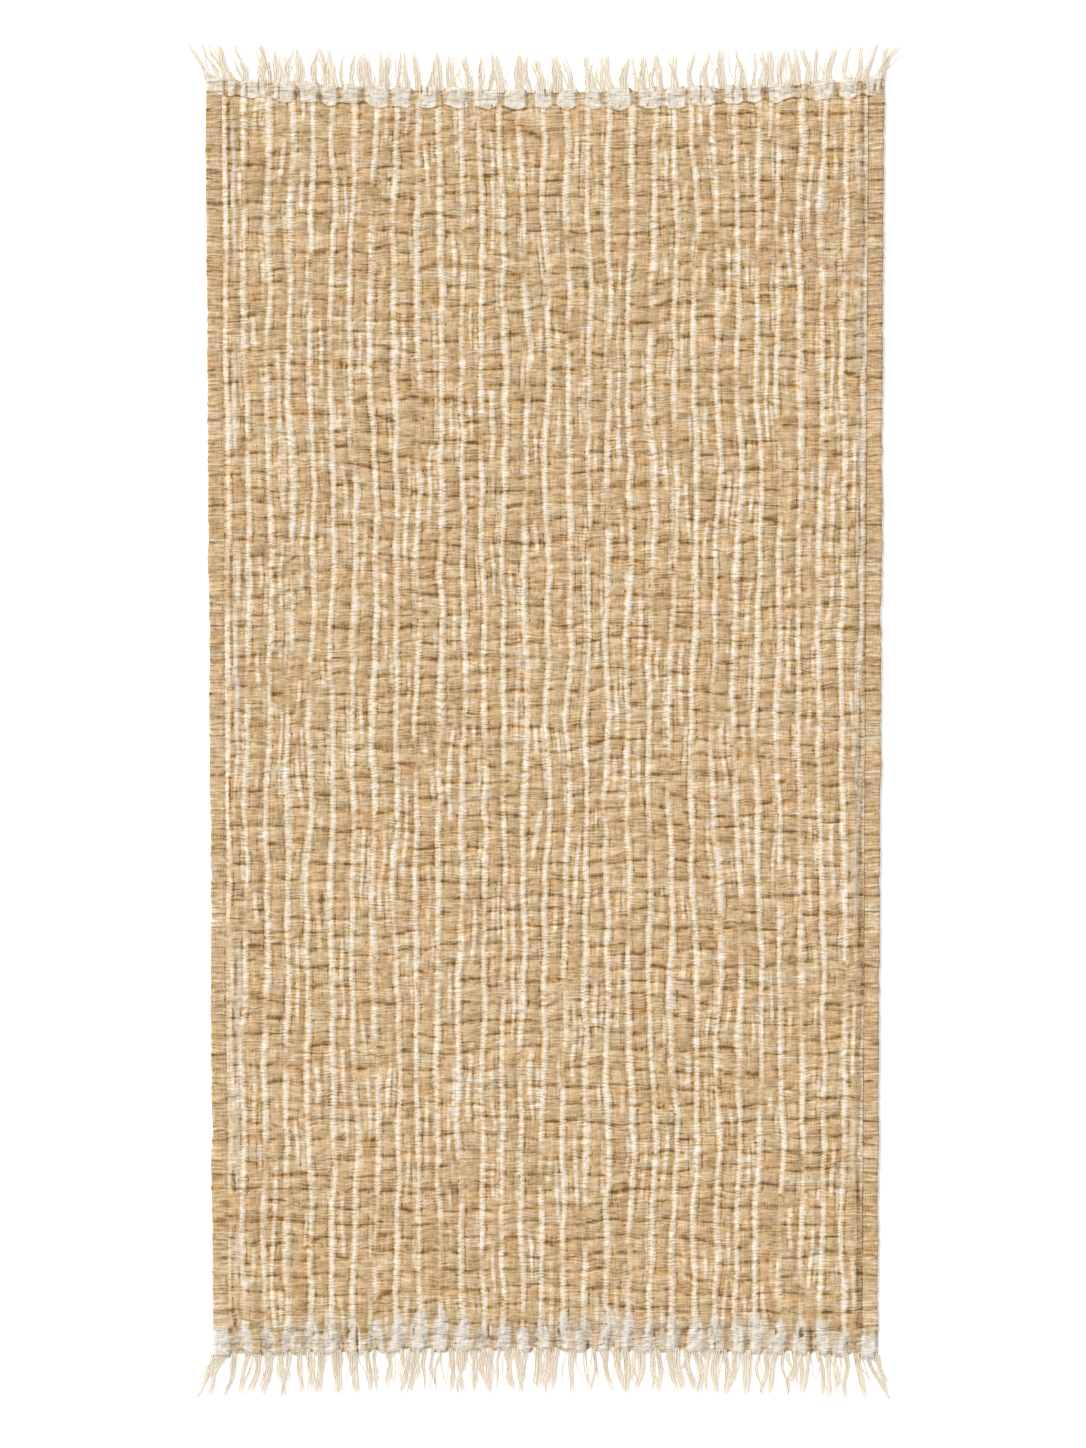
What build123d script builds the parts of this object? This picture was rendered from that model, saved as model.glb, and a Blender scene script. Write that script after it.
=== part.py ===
from build123d import *
from math import ceil, copysign, radians, sin, sqrt, tan
import os

os.makedirs("parts", exist_ok=True)

# A bath mat of crinkled cotton gauze, four plies thick, with turned side hems, an undyed header
# band across each end and the loose warp beyond it left as fringe. X runs across the mat, +Y
# towards its far end and +Z up. The origin is on the floor under the middle of the whole mat.

# Driving dimensions, in millimetres.
overall_length = 1000.0  # tip to tip of the corner fringes
far_width = 498.0  # the cloth draws in a little towards its near end
near_width = 488.0
far_bow = 10.0  # how far the middle of each end edge is drawn in from its corners
near_bow = 5.0

ply_thickness = 1.4  # the back cloth and each inner cloth
ply_gap = 0.1
face_valley_thickness = 0.5
face_ridge_rise = 2.0
ridge_pitch = 15.6

hem_width = 12.0
hem_thickness = 3.4
hem_fold_radius = 1.3
fold_share = 0.45  # the most of the hem's thickness that its fold radius takes
thread_width = 0.5
thread_thickness = 0.35
stitch_length = 7.0
stitch_space = 5.0
stitch_inset = 2.0  # from the hem's inner side to the middle of the thread
stitch_end_margin = 4.0  # from the hem's corner to the first stitch

far_band_length = 14.0
near_band_length = 22.0
band_valley_thickness = 2.2
band_ridge_rise = 1.6

far_fringe_length = 28.0
near_fringe_length = 32.0
bundles_per_end = 40
bundles_per_node = 2
strands_per_bundle = 3
strand_diameter = 1.6
strand_gap = 0.6  # between neighbouring strands of a bundle at their roots
strand_spread = 1.7  # how much further apart neighbouring strands of a bundle are at their tips
bundle_margin = 4.6  # from the band's corner to the middle of the outermost bundle
corner_splay = 9.0  # how far the corner bundles lean outwards
bundle_sway = 0.9
strand_shortfall = 5.0  # how much shorter than the corner strand the shortest one is
knee_share = 0.6  # where along its length a strand straightens out
bend_share = 0.45  # the most of a strand's shorter run that its bend takes up
least_lean = 0.3

seam_gap = 0.2  # clearance between pieces that meet side by side

flat_ply_names = ["back_cloth", "lower_inner_cloth", "upper_inner_cloth"]  # from the floor up

# Places that follow from them.
far_edge = overall_length / 2 - far_fringe_length
near_edge = near_fringe_length - overall_length / 2
far_body_end = far_edge - far_band_length - seam_gap
near_body_end = near_edge + near_band_length + seam_gap
ply_pitch = ply_thickness + ply_gap
face_base = len(flat_ply_names) * ply_pitch
face_valley = face_base + face_valley_thickness
cloth_height = face_valley + face_ridge_rise
hem_base = thread_thickness
hem_top = hem_base + hem_thickness
strand_radius = strand_diameter / 2
strand_pitch = strand_diameter + strand_gap
strand_height = strand_radius + seam_gap


def half_width(y):
    """Half the width of the cloth at y, which changes evenly from one end edge to the other."""
    share = (y - near_edge) / (far_edge - near_edge)
    return (near_width + (far_width - near_width) * share) / 2


def crosswise_outline(y_high, bow_high, y_low, bow_low):
    """Flat shape of the full width between two end lines that arc inwards by their bows."""
    with BuildSketch() as outline:
        with BuildLine():
            wide = half_width(y_high)
            narrow = half_width(y_low)
            ThreePointArc((-wide, y_high), (0, y_high - bow_high), (wide, y_high))
            Line((wide, y_high), (narrow, y_low))
            ThreePointArc((narrow, y_low), (0, y_low + bow_low), (-narrow, y_low))
            Line((-narrow, y_low), (-wide, y_high))
        make_face()
    return outline.sketch


def lengthwise_strip(left_inset, right_inset):
    """Strip of the cloth between two lines, each set in from the left side by its inset."""
    reach = overall_length / 2
    wide = half_width(reach)
    narrow = half_width(-reach)
    with BuildSketch() as strip:
        with BuildLine():
            Polyline(
                (left_inset - wide, reach),
                (right_inset - wide, reach),
                (right_inset - narrow, -reach),
                (left_inset - narrow, -reach),
                close=True,
            )
        make_face()
    return strip.sketch


def inner_cloth_outline():
    """The body of the cloth without its hems and bands."""
    reach = overall_length / 2
    inset = hem_width + seam_gap
    wide = half_width(reach) - inset
    narrow = half_width(-reach) - inset
    with BuildSketch() as body:
        add(body_outline)
        with BuildLine():
            Polyline((-wide, reach), (wide, reach), (narrow, -reach), (-narrow, -reach), close=True)
        make_face(mode=Mode.INTERSECT)
    return body.sketch


def ridged_section(base, valley, rise):
    """Section across the cloth: flat below, a row of rounded ridges meeting in valleys above."""
    ridges_each_side = ceil(max(far_width, near_width) / 2 / ridge_pitch)
    edge = ridges_each_side * ridge_pitch
    with BuildSketch() as section:
        with BuildLine():
            Polyline((-edge, valley), (-edge, base), (edge, base), (edge, valley))
            for number in range(-ridges_each_side, ridges_each_side):
                left = number * ridge_pitch
                crest = (left + ridge_pitch / 2, valley + rise)
                ThreePointArc((left, valley), crest, (left + ridge_pitch, valley))
        make_face()
    return section.sketch


body_outline = crosswise_outline(far_body_end, far_bow, near_body_end, near_bow)
cloth_outline = inner_cloth_outline()
face_section = ridged_section(face_base, face_valley, face_ridge_rise)
band_section = ridged_section(0, band_valley_thickness, band_ridge_rise)

# Three flat plies, from the floor up. They carry no ridges of their own: the face cloth's ridges
# stand on them.
for layer, ply_name in enumerate(flat_ply_names):
    with BuildPart() as ply:
        with BuildSketch(Plane.XY.offset(layer * ply_pitch)):
            add(cloth_outline)
        extrude(amount=ply_thickness)
    ply.part.label = ply_name
    export_step(ply.part, f"parts/{ply_name}.step")

# The ply that is seen, drawn up into lengthwise ridges.
with BuildPart() as face_cloth:
    with BuildSketch(Plane.XZ):
        add(face_section)
    extrude(amount=overall_length / 2, both=True)
    with BuildSketch(Plane.XY):
        add(cloth_outline)
    extrude(amount=cloth_height, mode=Mode.INTERSECT)
face_cloth.part.label = "face_cloth"
export_step(face_cloth.part, "parts/face_cloth.step")

# Side hems: all the plies turned in and pressed flat, with a rounded fold along the outer side.
# The right hem is the left one mirrored.
left_hem_strip = lengthwise_strip(0, hem_width)
with BuildPart() as left_hem:
    with BuildSketch(Plane.XY.offset(hem_base)):
        add(body_outline)
        add(left_hem_strip, mode=Mode.INTERSECT)
    extrude(amount=hem_thickness)
    long_edges = left_hem.edges().filter_by(GeomType.LINE).group_by(SortBy.LENGTH)[-1]
    fillet(long_edges, min(hem_fold_radius, fold_share * hem_thickness))
left_hem.part.label = "left_side_hem"
export_step(left_hem.part, "parts/left_side_hem.step")

with BuildPart() as right_hem:
    add(mirror(left_hem.part, about=Plane.YZ, mode=Mode.PRIVATE))
right_hem.part.label = "right_side_hem"
export_step(right_hem.part, "parts/right_side_hem.step")

# One running stitch along each hem: long runs over it and short runs under it.
stitch_pitch = stitch_length + stitch_space
first_stitch = near_body_end + near_bow + stitch_end_margin + stitch_length / 2
last_stitch = far_body_end - far_bow - stitch_end_margin - stitch_length / 2
stitch_count = int((last_stitch - first_stitch) / stitch_pitch) + 1
for side_name, side in [("left", -1), ("right", 1)]:
    over_places = []
    under_places = []
    for number in range(stitch_count):
        y = first_stitch + number * stitch_pitch
        over_places.append((side * (half_width(y) - hem_width + stitch_inset), y))
    for number in range(stitch_count - 1):
        y = first_stitch + (number + 0.5) * stitch_pitch
        under_places.append((side * (half_width(y) - hem_width + stitch_inset), y))
    with BuildPart() as hem_thread:
        with BuildSketch(Plane.XY.offset(hem_top)):
            with Locations(*over_places):
                SlotOverall(stitch_length, thread_width, rotation=90)
        extrude(amount=thread_thickness)
        with BuildSketch(Plane.XY):
            with Locations(*under_places):
                SlotOverall(stitch_space, thread_width, rotation=90)
        extrude(amount=thread_thickness)
    thread_name = f"{side_name}_hem_thread"
    hem_thread.part.label = thread_name
    export_step(hem_thread.part, f"parts/{thread_name}.step")

# Header bands: all the plies woven into one, puckered by the ridges that run into them.
far_band_outline = crosswise_outline(far_edge, far_bow, far_edge - far_band_length, -far_bow)
near_band_outline = crosswise_outline(near_edge + near_band_length, -near_bow, near_edge, near_bow)
bands = [("far_header_band", far_band_outline), ("near_header_band", near_band_outline)]
for band_name, band_outline in bands:
    with BuildPart() as band:
        with BuildSketch(Plane.XZ):
            add(band_section)
        extrude(amount=overall_length / 2, both=True)
        with BuildSketch(Plane.XY):
            add(band_outline)
        extrude(amount=band_valley_thickness + band_ridge_rise, mode=Mode.INTERSECT)
    band.part.label = band_name
    export_step(band.part, f"parts/{band_name}.step")


def fringe_routes(end_edge, bow, length, side, bundle):
    """Root, knee and tip of each strand in a bundle. side is +1 at the far end, -1 at the near."""
    half_edge = half_width(end_edge)
    bundle_pitch = 2 * (half_edge - bundle_margin) / (bundles_per_end - 1)
    bundle_x = bundle_margin - half_edge + bundle * bundle_pitch
    arc_radius = (half_edge**2 + bow**2) / (2 * bow)
    splay = corner_splay * (bundle_x / half_edge) ** 5
    sway = bundle_sway * sin(2.4 * bundle + side)
    routes = []
    for strand in range(strands_per_bundle):
        offset = strand - (strands_per_bundle - 1) / 2
        root_x = bundle_x + offset * strand_pitch
        lean = splay + sway + offset * strand_spread
        lean = copysign(max(abs(lean), least_lean), lean)
        edge_y = end_edge - side * (bow - arc_radius + sqrt(arc_radius**2 - root_x**2))
        shortfall = strand_shortfall * abs(sin(1.7 * bundle + 2.3 * strand))
        reach = length - shortfall
        root_gap = seam_gap + strand_radius * abs(lean) / (knee_share * reach)
        root = Vector(root_x, edge_y + side * root_gap, strand_height)
        knee = Vector(root_x + lean, edge_y + side * knee_share * reach, strand_height)
        tip = Vector(root_x + lean, edge_y + side * reach, strand_height)
        routes.append((root, knee, tip))
    return routes


# Fringe: bundles of loose warp strands that lie on the floor, numbered from the left.
fringes = [
    ("far", far_edge, far_bow, far_fringe_length, 1),
    ("near", near_edge, near_bow, near_fringe_length, -1),
]
for end_name, end_edge, bow, fringe_length, side in fringes:
    for group in range(bundles_per_end // bundles_per_node):
        with BuildPart() as fringe:
            for bundle in range(group * bundles_per_node, (group + 1) * bundles_per_node):
                for root, knee, tip in fringe_routes(end_edge, bow, fringe_length, side, bundle):
                    first_run = knee - root
                    last_run = tip - knee
                    turn = radians(first_run.get_angle(last_run))
                    bend = bend_share * min(first_run.length, last_run.length) / tan(turn / 2)
                    with BuildLine() as route:
                        FilletPolyline(root, knee, tip, radius=bend)
                    with BuildSketch(Plane(origin=root, z_dir=first_run)) as section:
                        Circle(strand_radius)
                    sweep(sections=section.sketch, path=route.line)
        fringe_name = f"{end_name}_fringe_{group + 1:02d}"
        fringe.part.label = fringe_name
        export_step(fringe.part, f"parts/{fringe_name}.step")
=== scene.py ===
import math

import bpy
import mathutils
import numpy as np
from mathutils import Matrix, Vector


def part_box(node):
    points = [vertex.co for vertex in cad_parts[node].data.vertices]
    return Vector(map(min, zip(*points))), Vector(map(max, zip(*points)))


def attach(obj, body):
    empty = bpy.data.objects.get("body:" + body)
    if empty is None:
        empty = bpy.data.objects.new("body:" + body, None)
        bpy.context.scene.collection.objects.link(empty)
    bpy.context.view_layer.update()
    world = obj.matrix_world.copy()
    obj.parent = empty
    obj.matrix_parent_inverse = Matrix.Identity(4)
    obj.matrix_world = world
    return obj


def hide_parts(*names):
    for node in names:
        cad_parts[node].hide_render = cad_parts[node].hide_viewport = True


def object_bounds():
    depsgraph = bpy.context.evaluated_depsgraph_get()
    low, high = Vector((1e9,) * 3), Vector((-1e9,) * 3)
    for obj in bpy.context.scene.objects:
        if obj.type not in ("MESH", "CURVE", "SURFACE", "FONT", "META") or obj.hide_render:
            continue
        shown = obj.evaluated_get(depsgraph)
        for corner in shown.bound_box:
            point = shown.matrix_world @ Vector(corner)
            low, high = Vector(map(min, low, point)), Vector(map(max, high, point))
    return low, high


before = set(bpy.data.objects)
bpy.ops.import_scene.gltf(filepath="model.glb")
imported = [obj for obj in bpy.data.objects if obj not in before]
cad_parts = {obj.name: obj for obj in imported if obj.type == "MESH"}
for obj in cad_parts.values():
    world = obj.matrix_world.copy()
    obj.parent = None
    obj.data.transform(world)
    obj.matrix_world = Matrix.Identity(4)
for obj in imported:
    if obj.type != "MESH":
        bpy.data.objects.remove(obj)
cad_low, cad_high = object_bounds()

# View and floor. The mat lies flat on a pale floor and is seen from straight above, its far end at
# the top of the view. A broad soft light from the upper left shows the crinkles.
view_length = 1.0624
view_centre = (-0.0015, -0.0033)
view_height = 3.0
sensor_length = 24.0
camera = bpy.data.objects.new("camera", bpy.data.cameras.new("camera"))
camera.data.sensor_fit = "VERTICAL"
camera.data.sensor_height = sensor_length
camera.data.lens = sensor_length * view_height / view_length
camera.location = (*view_centre, view_height)
bpy.context.collection.objects.link(camera)
scene = bpy.context.scene
scene.camera = camera
scene.view_settings.view_transform = "Standard"

floor_reach = 10.0
floor_drop = 0.0002  # keeps the lowest yarns clear of the floor
floor_mesh = bpy.data.meshes.new("floor")
floor_corners = [(-floor_reach, -floor_reach), (floor_reach, -floor_reach)]
floor_corners += [(floor_reach, floor_reach), (-floor_reach, floor_reach)]
floor_mesh.from_pydata([(x, y, -floor_drop) for x, y in floor_corners], [], [(0, 1, 2, 3)])
floor = bpy.data.objects.new("floor", floor_mesh)
bpy.context.collection.objects.link(floor)

fill_strength = 0.50
world = bpy.data.worlds.new("studio")
world.use_nodes = True
world.node_tree.nodes["Background"].inputs["Color"].default_value = (1.0, 1.0, 1.0, 1.0)
world.node_tree.nodes["Background"].inputs["Strength"].default_value = fill_strength
scene.world = world

key_strength = 3.3
key_softness = 0.45
key_from = mathutils.Vector((-0.85, 0.75, 1.0))
key_light = bpy.data.objects.new("key_light", bpy.data.lights.new("key_light", "SUN"))
key_light.data.energy = key_strength
key_light.data.angle = key_softness
key_light.rotation_euler = key_from.to_track_quat("Z", "Y").to_euler()
bpy.context.collection.objects.link(key_light)


# Finishes. Every finish of the mat is a tree of shader nodes, written as sums on the numbers that
# vary over the cloth. Lengths in it are millimetres.
class Spread:
    """A number that varies over a surface; arithmetic on it adds Math nodes."""

    def __init__(self, dye, socket):
        self.dye = dye
        self.socket = socket

    def math(self, operation, *others):
        return self.dye.number("ShaderNodeMath", {"operation": operation}, [self, *others])

    def __add__(self, other):
        return self.math("ADD", other)

    __radd__ = __add__

    def __sub__(self, other):
        return self.math("SUBTRACT", other)

    def __rsub__(self, other):
        return self.dye.number("ShaderNodeMath", {"operation": "SUBTRACT"}, [other, self])

    def __mul__(self, other):
        return self.math("MULTIPLY", other)

    __rmul__ = __mul__

    def __truediv__(self, other):
        return self.math("DIVIDE", other)


class Dye:
    """The node tree of one finish."""

    def __init__(self, name):
        self.material = bpy.data.materials.new(name)
        self.material.use_nodes = True
        self.tree = self.material.node_tree
        self.shader = self.tree.nodes["Principled BSDF"]

    def node(self, kind, settings, sockets):
        """Adds a node: its settings are set first, then its sockets get values or links."""
        made = self.tree.nodes.new(kind)
        for key, value in settings.items():
            setattr(made, key, value)
        pairs = sockets.items() if isinstance(sockets, dict) else enumerate(sockets)
        for key, value in pairs:
            self.feed(made.inputs[key], value)
        return made

    def feed(self, entry, value):
        """Links a spread or a socket to an entry, or sets a plain value on it."""
        if isinstance(value, Spread):
            self.tree.links.new(value.socket, entry)
        elif isinstance(value, bpy.types.NodeSocket):
            self.tree.links.new(value, entry)
        else:
            entry.default_value = value

    def number(self, kind, settings, sockets, output=0):
        return Spread(self, self.node(kind, settings, sockets).outputs[output])

    def part(self, vector):
        """The three numbers of a vector."""
        split = self.node("ShaderNodeSeparateXYZ", {}, [vector])
        return [Spread(self, out) for out in split.outputs]

    def noise(self, across, along, seed, detail=1.0):
        """Soft random number from 0 to 1 over two coordinates that are already scaled."""
        place = self.node("ShaderNodeCombineXYZ", {}, [across, along, seed])
        sockets = {"Vector": place.outputs[0], "Scale": 1.0, "Detail": detail}
        return self.number("ShaderNodeTexNoise", {"noise_dimensions": "3D"}, sockets)

    def step(self, value, low, high):
        """Eases from 0 at low to 1 at high; a plain high may be the smaller."""
        settings = {"interpolation_type": "SMOOTHSTEP"}
        if isinstance(low, Spread) or low > high:
            return self.number("ShaderNodeMapRange", settings, [value, high, low, 1.0, 0.0])
        return self.number("ShaderNodeMapRange", settings, [value, low, high, 0.0, 1.0])

    def mix(self, share, first, second):
        """Colour that goes from first to second as share goes from 0 to 1."""
        made = self.node("ShaderNodeMix", {"data_type": "RGBA"}, {0: share, 6: first, 7: second})
        return made.outputs[2]

    def tone(self, colour, factor):
        """Colour times a number."""
        colour = colour[:3] if isinstance(colour, tuple) else colour
        grey = self.node("ShaderNodeCombineXYZ", {}, [factor, factor, factor]).outputs[0]
        return self.node("ShaderNodeVectorMath", {"operation": "MULTIPLY"}, [colour, grey]).outputs[0]

    def ramp(self, value, stops):
        """Colour that goes through the stops as value goes from 0 to 1."""
        made = self.node("ShaderNodeValToRGB", {}, [value])
        while len(made.color_ramp.elements) < len(stops):
            made.color_ramp.elements.new(1.0)
        for element, (place, colour) in zip(made.color_ramp.elements, stops):
            element.position = place
            element.color = colour
        return made.outputs[0]

    def stain(self, colour, share, tint):
        """Colour multiplied by a tint where share is 1."""
        tinted = self.node("ShaderNodeVectorMath", {"operation": "MULTIPLY"}, [colour, tint]).outputs[0]
        return self.mix(share, colour, tinted)

    def finish(self, colour, roughness, height, depth):
        """Sets the colour, the roughness, and a bump of the given depth in metres."""
        self.feed(self.shader.inputs["Base Color"], colour)
        self.feed(self.shader.inputs["Roughness"], roughness)
        sockets = {"Height": height, "Distance": depth, "Strength": 1.0}
        bump = self.node("ShaderNodeBump", {}, sockets)
        self.feed(self.shader.inputs["Normal"], bump.outputs["Normal"])
        self.shader.inputs["Specular IOR Level"].default_value = 0.2
        self.shader.inputs["Sheen Weight"].default_value = 0.12
        self.shader.inputs["Sheen Roughness"].default_value = 0.6
        return self.material


studio_gain = 0.86  # this studio's light makes a surface look brighter than its own colour


def rgb(red, green, blue):
    """Colour that looks like the given display values, 0 to 255, in this studio's light."""
    display = np.array([red, green, blue]) / 255
    linear = np.where(display <= 0.04045, display / 12.92, ((display + 0.055) / 1.055) ** 2.4)
    return (*(float(part) for part in linear * studio_gain), 1.0)


ridge_pitch_mm = 15.6
puff_pitch_mm = 12.5
weft_pitch_mm = 2.3
net_pitches_mm = (1.5, 1.6)  # of the plain weave of the undyed cloth, across and along
darkest = 0.07
tan_range = (
    (0.00, rgb(88, 56, 24)),
    (0.12, rgb(140, 104, 58)),
    (0.28, rgb(184, 150, 104)),
    (0.44, rgb(210, 179, 136)),
    (0.58, rgb(225, 200, 162)),
    (0.74, rgb(242, 226, 202)),
    (1.00, rgb(255, 253, 248)),
)
ecru_range = (
    (0.00, rgb(112, 82, 48)),
    (0.16, rgb(166, 137, 100)),
    (0.34, rgb(211, 194, 167)),
    (0.50, rgb(234, 226, 212)),
    (0.68, rgb(245, 241, 233)),
    (1.00, rgb(255, 255, 253)),
)


def gauze(
    name, streaks=1.0, shade_strength=1.0, relief=0.00045, ribs=1.0, weft_pitch=weft_pitch_mm, lift=0.0
):
    """Crinkled gauze, coloured on one scale from the painted shade in its low places through the tan of
    its weft to the cream of its warp. The warp gathers in cords along the ridges, which wander, thin
    out, stop and start again, and the weft runs across in fine uneven ribs. Between the cords the cloth
    stands in puffs, pinched together along the mat. The colour paints a highlight on each puff and
    shade in the pinches, in the low places, in the grooves beside the cords, in the pits and along the
    creases. The crinkle map counts the cords and the puffs. Streaks say how much the cords show and
    ribs how much the ribs show, the shade argument says how strong all that painted shade is, relief
    is the depth of the bump in metres, and lift makes the whole cloth lighter."""
    dye = Dye(name)
    across, along, _ = dye.part(dye.node("ShaderNodeTexCoord", {}, []).outputs["Object"])
    x = across * 1000.0
    y = along * 1000.0
    phase, turn, _ = dye.part(dye.node("ShaderNodeUVMap", {"uv_map": "crinkle"}, []).outputs[0])
    undyed = dye.number("ShaderNodeAttribute", {"attribute_name": "undyed"}, [], 2)
    # How much painted shade each point carries, from the mesh: in the low places, creases and seams.
    painted_shade = dye.number("ShaderNodeAttribute", {"attribute_name": "painted_shade"}, [], 2)

    def cord(shift, seed, width, spread, low, high):
        """Where a point is against the cord of its ridge: its place in ridge pitches, whole numbers
        on the cords, then how far it is inside the cord, and how far in the groove beside it."""
        moved = phase + shift
        ridge = moved.math("ROUND")
        wander = dye.noise(ridge * 3.7, y / 80.0, seed) * spread
        jog = ((y / 17.0 + ridge * 0.37).math("FLOOR") * 0.73) + 0.3
        wander = wander + dye.noise(ridge * 5.3, jog, seed) * 0.12 - (spread / 2 + 0.06)
        place = moved - wander
        off = (place - ridge).math("ABSOLUTE")
        gate = dye.step(dye.noise(ridge * 2.3, y / 60.0, seed + 20.0, 2.0), low, high)
        lump = dye.noise(ridge * 7.1, y / 3.6, seed + 40.0, 1.0)
        gate = gate * (1.0 - dye.step(dye.noise(ridge * 9.1, y / 4.5, seed + 60.0), 0.58, 0.74) * 0.6)
        reach = lump * 0.09 + (width - 0.045)
        settings = {"interpolation_type": "SMOOTHSTEP"}
        inside = dye.number("ShaderNodeMapRange", settings, [off, reach * 0.3, reach * 1.7, 1.0, 0.0])
        groove = dye.step((off - reach * 1.7 - 0.02).math("ABSOLUTE"), 0.06, 0.0)
        halo = dye.step(off, reach * 3.4, 0.0) * 0.22
        return place, (inside * (lump * 1.3 + 0.12) + halo) * gate, groove * gate

    place, main, main_groove = cord(0.0, 3.0, 0.115, 0.24, 0.30, 0.48)
    _, side, side_groove = cord(0.5, 7.0, 0.080, 0.60, 0.48, 0.62)
    _, twin, twin_groove = cord(0.25, 12.0, 0.070, 0.20, 0.48, 0.62)
    warp = main.math("MAXIMUM", side * 0.9).math("MAXIMUM", twin * 0.85).math("MINIMUM", 1.0)
    groove = main_groove.math("MAXIMUM", side_groove * 0.8).math("MAXIMUM", twin_groove)
    field = place.math("FLOOR")

    bow = (place * (2 * math.pi)).math("COSINE") * (dye.noise(field * 3.1, y / 22.0, 15.0) - 0.5) * 3.0
    waver = dye.noise(x / 9.0, y / 10.0, 17.0) * 2.2 + dye.noise(x / 45.0, y / 60.0, 19.0) * 5.0 + bow
    woven = y + waver + dye.noise(field * 7.7, y / 40.0, 18.0) * 6.0
    slub = dye.noise(x / 12.0, woven / 1.1, 25.0, 1.0) - 0.5
    rib = (woven * (2 * math.pi / weft_pitch) + slub * 9.0).math("SINE")
    rib_show = dye.step(dye.noise(field * 1.7 + x / 40.0, y / 9.0, 23.0, 1.0), 0.42, 0.62) * 0.8 + 0.2
    pucker = dye.noise(x / 7.0, woven / 2.8, 27.0, 1.0) - 0.5
    end = dye.noise(x / 0.9, y / 15.0, 28.0, 1.0) - 0.5
    blotch = dye.noise(x / 2.6, y / 2.8, 31.0, 2.0) - 0.5
    fuzz = dye.noise(x / 0.62, y / 0.70, 29.0, 2.0) - 0.5
    swell = dye.noise(field * 2.9 + x / 30.0, y / 15.0, 33.0, 1.0) - 0.5
    # Pits are spots in the low places and grooves, tucks thin creases across the weft: both dip the
    # bump, and the colour below paints them as shade.
    pit = dye.step(dye.noise(x / 2.0, y / 3.0, 61.0), 0.60, 0.76) * (painted_shade * 0.9 + groove * 0.9 + 0.2)
    tuck = dye.step(dye.noise(x / 22.0, (y + waver) / 1.7, 67.0), 0.645, 0.76)

    # Puffs and pinches: pillow rises on each puff, for the bump and for a painted highlight; the mask at
    # the pinches is painted shade only.
    turned = turn + (dye.noise(field * 5.1, y / 26.0, 71.0) - 0.5) * 1.1
    arch = (turned * math.pi).math("COSINE").math("ABSOLUTE")
    off_cord = dye.step((place * math.pi).math("SINE").math("ABSOLUTE"), 0.15, 0.65)
    pinched = dye.step(dye.noise(field * 6.3 + x / 18.0, y / 9.0, 75.0), 0.38, 0.60)
    pillow = 1.0 - off_cord * (1.0 - dye.step(arch, 0.0, 0.62)) * (pinched * 0.7 + 0.3)
    pinch_shade = dye.step(arch, 0.45, 0.0) * pinched

    cut = 1.0 - dye.step(slub + rib * rib_show * 0.06, -0.04, -0.14) * 0.45
    # The cords also dim in the pinches, as painted shade.
    cut = cut * (1.0 - pinch_shade * 0.3)
    bar = dye.noise(x / 45.0, (y + waver) / 4.6, 35.0, 1.0) - 0.5
    course = dye.noise(x / 24.0, woven / 7.0, 36.0) - 0.5
    value = warp * cut * (0.385 * streaks) + (0.44 + lift) + bar * 0.26 + course * 0.16
    value = value + rib * rib_show * (0.085 * ribs) + slub * 0.40 + pucker * 0.42
    value = value + end * 0.34 + swell * 0.30 + blotch * 0.32 + fuzz * 0.34
    # Painted light and shade: darker in the grooves beside the cords, in the low places, at the pinches,
    # in the pits and along the tucks, and lighter on each puff.
    groove_show = dye.step(dye.noise(x / 7.0, y / 16.0, 59.0), 0.40, 0.62)
    value = value - groove * groove_show * (0.18 * shade_strength) - painted_shade * (0.10 * shade_strength)
    off_warp = warp * -0.6 + 1.0
    value = value + pillow * 0.06 - pinch_shade * off_warp * (0.18 * shade_strength) - 0.07
    value = value - pit.math("MINIMUM", 1.0) * (0.30 * shade_strength)
    value = value - tuck * (warp * -0.5 + 1.0) * (0.20 * shade_strength)
    shaded = dye.ramp(value.math("MAXIMUM", darkest), tan_range)

    pink = dye.step(dye.noise(field * 4.3 + x / 25.0, y / 24.0, 37.0), 0.48, 0.68) * 0.55
    gold = dye.step(dye.noise(field * 3.7 + x / 25.0, y / 18.0, 41.0), 0.48, 0.68) * 0.75
    grey = dye.step(dye.noise(field * 2.3 + x / 25.0, y / 16.0, 43.0), 0.48, 0.68) * 0.75
    shaded = dye.stain(shaded, pink, (1.02, 0.95, 0.97))
    shaded = dye.stain(shaded, gold, (1.04, 0.97, 0.86))
    shaded = dye.stain(shaded, grey, (0.90, 0.925, 0.965))

    net = (x * (2 * math.pi / net_pitches_mm[0])).math("SINE")
    net = net * (woven * (2 * math.pi / net_pitches_mm[1])).math("SINE")
    plain = 0.52 + slub * 0.35 + pucker * 0.4 + end * 0.25 + blotch * 0.35 + fuzz * 0.45 + net * 0.06
    # Painted shade on the undyed cloth: darker along the tucks, in the pits and in the low places.
    plain = plain - tuck * 0.12 - pit.math("MINIMUM", 1.0) * 0.30 - painted_shade * 0.36
    ecru = dye.ramp(plain, ecru_range)
    colour = dye.mix(undyed, shaded, ecru)

    height = rib * rib_show * 0.2 + slub * 0.8 + pucker * 1.8 + end * 0.3 + warp * 0.35
    height = height + fuzz * 0.35 - pit * 0.7
    height = height - groove * groove_show * 0.3 - tuck * 0.4 + pillow * 1.35
    roughness = 0.95 - warp * 0.08
    return dye.finish(colour, roughness, height, relief)


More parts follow.
